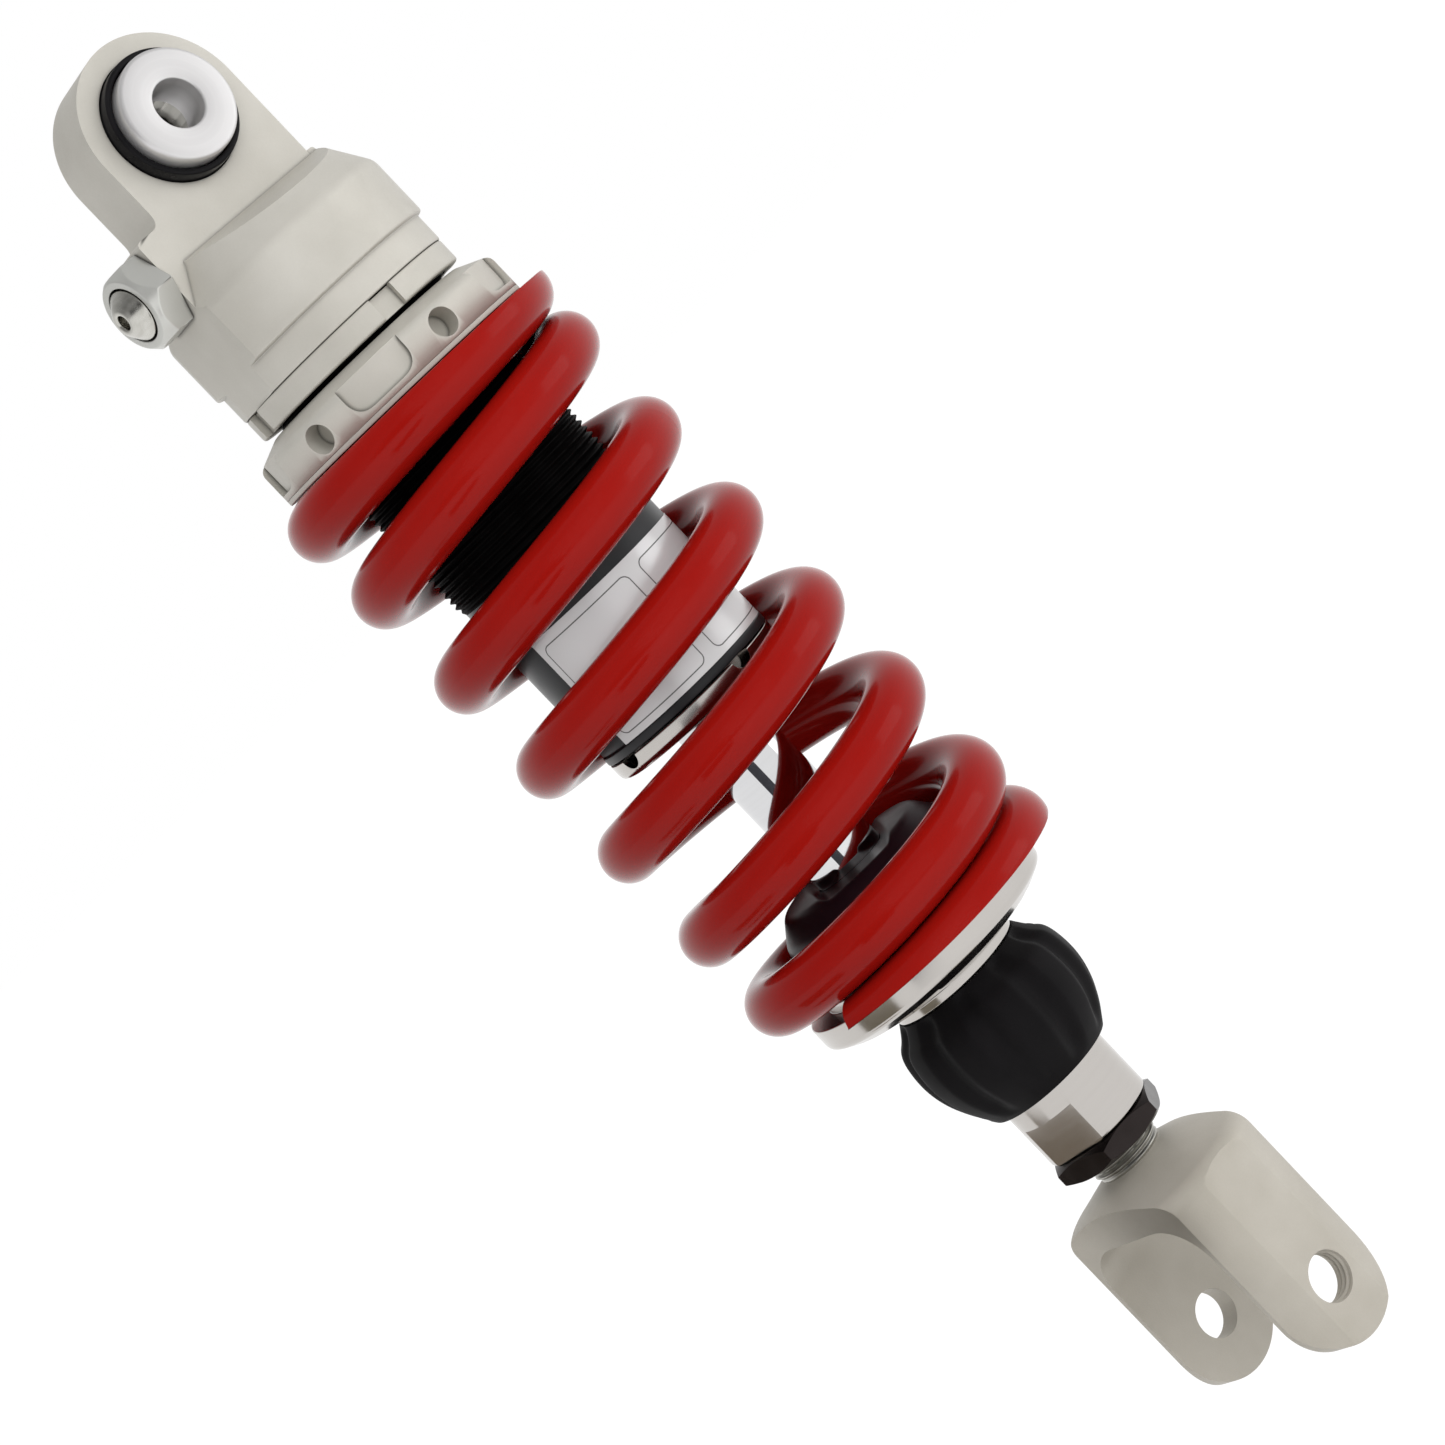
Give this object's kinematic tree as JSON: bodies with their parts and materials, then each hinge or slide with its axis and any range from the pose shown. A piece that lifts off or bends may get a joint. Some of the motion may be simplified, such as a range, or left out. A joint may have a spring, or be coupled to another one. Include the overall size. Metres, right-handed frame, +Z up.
{
  "type": "motorcycle rear shock absorber",
  "caption": "Coil-over shock absorber with a bushed upper eye, threaded spring preload collar, rebound knob and forked lower clevis.",
  "frame": {"origin": "centre of the upper eye, where both bolt and damper axes cross", "axes": "+Z up along the damper from the clevis to the eye, Y along both mounting bolts, -X towards the gas valve"},
  "size_m": [0.072, 0.072, 0.348],
  "materials": {
    "bead_blasted_aluminium": "satin bead-blasted",
    "turned_aluminium": "turned",
    "red_powder_coat": "gloss powder coat",
    "black_anodised": "satin black",
    "chrome": "hard chrome, polished",
    "steel": "machined",
    "blued_steel": "black oxide",
    "rubber": "matte",
    "elastomer": "matte",
    "black_plastic": "matte",
    "bronze": "plain",
    "ptfe": "plain"
  },
  "bodies": {
    "damper": {"head": "bead_blasted_aluminium", "eye_rubber_bush": "rubber", "gas_valve_body": "turned_aluminium", "gas_valve_plug": "steel", "damper_tube": "black_anodised", "seal_head": "turned_aluminium", "rod_guide_bush": "bronze", "rod_seal": "rubber", "dust_wiper": "rubber", "spring": "red_powder_coat"},
    "eye_pin": {"eye_inner_sleeve": "steel", "eye_spacer_front": "turned_aluminium", "eye_spacer_rear": "turned_aluminium"},
    "washer": {"spring_washer": "bead_blasted_aluminium"},
    "collar": {"preload_collar": "bead_blasted_aluminium"},
    "lock_ring": {"lock_ring": "bead_blasted_aluminium"},
    "floating_piston": {"floating_piston": "turned_aluminium", "floating_piston_oring": "rubber"},
    "rod": {"piston_rod": "chrome", "piston": "turned_aluminium", "piston_band": "ptfe", "rebound_shims": "steel", "compression_shims": "steel", "stop_washer": "steel", "piston_nut": "steel", "top_out_bumper": "elastomer", "bump_stop": "elastomer", "lower_spring_seat": "turned_aluminium", "shaft_extension": "turned_aluminium"},
    "needle": {"rebound_needle": "steel"},
    "knob": {"rebound_knob": "black_plastic"},
    "lock_nut": {"lock_nut": "blued_steel"},
    "clevis": {"clevis": "bead_blasted_aluminium"}
  },
  "joints": [
    {"name": "rod_slide", "type": "slide", "parent": "damper", "child": "rod", "axis": [0, 0, 1], "range_m": [0, 0.04], "stiffness_N_per_m": 90000, "springref_m": -0.004, "deforming": ["spring"]},
    {"name": "floating_piston_slide", "type": "slide", "parent": "damper", "child": "floating_piston", "axis": [0, 0, 1], "range_m": [0, 0.0085]},
    {"name": "preload_slide", "type": "slide", "parent": "damper", "child": "washer", "axis": [0, 0, -1], "range_m": [0, 0.0081]},
    {"name": "collar_turn", "type": "hinge", "parent": "washer", "child": "collar", "pos_m": [0, 0, -0.0576], "axis": [0, 0, 1], "range_deg": [0, 1920]},
    {"name": "lock_ring_turn", "type": "hinge", "parent": "washer", "child": "lock_ring", "pos_m": [0, 0, -0.0518], "axis": [0, 0, 1], "range_deg": [0, 1921]},
    {"name": "eye_twist", "type": "hinge", "parent": "damper", "child": "eye_pin", "pos_m": [0, 0, 0], "axis": [0, 1, 0], "range_deg": [-12, 12], "stiffness_Nm_per_rad": 0.5},
    {"name": "rebound_turn", "type": "hinge", "parent": "rod", "child": "knob", "pos_m": [0, 0, -0.252], "axis": [0, 0, 1], "range_deg": [-450, 450]},
    {"name": "rebound_needle_slide", "type": "slide", "parent": "rod", "child": "needle", "axis": [0, 0, 1], "range_m": [-0.00101, 0.00101]},
    {"name": "lock_nut_turn", "type": "hinge", "parent": "rod", "child": "lock_nut", "pos_m": [0, 0, -0.2668], "axis": [0, 0, 1], "range_deg": [0, 180]},
    {"name": "clevis_slide", "type": "slide", "parent": "rod", "child": "clevis", "axis": [0, 0, -1], "range_m": [-0.004, 0.01]}
  ],
  "couplings": [
    {"joint": "floating_piston_slide", "follows": "rod_slide", "ratio": 0.1975},
    {"joint": "preload_slide", "follows": "collar_turn", "m_per_rad": 0.00023873},
    {"joint": "lock_ring_turn", "follows": "collar_turn", "ratio": 1},
    {"joint": "rebound_needle_slide", "follows": "rebound_turn", "m_per_rad": 0.000127}
  ]
}
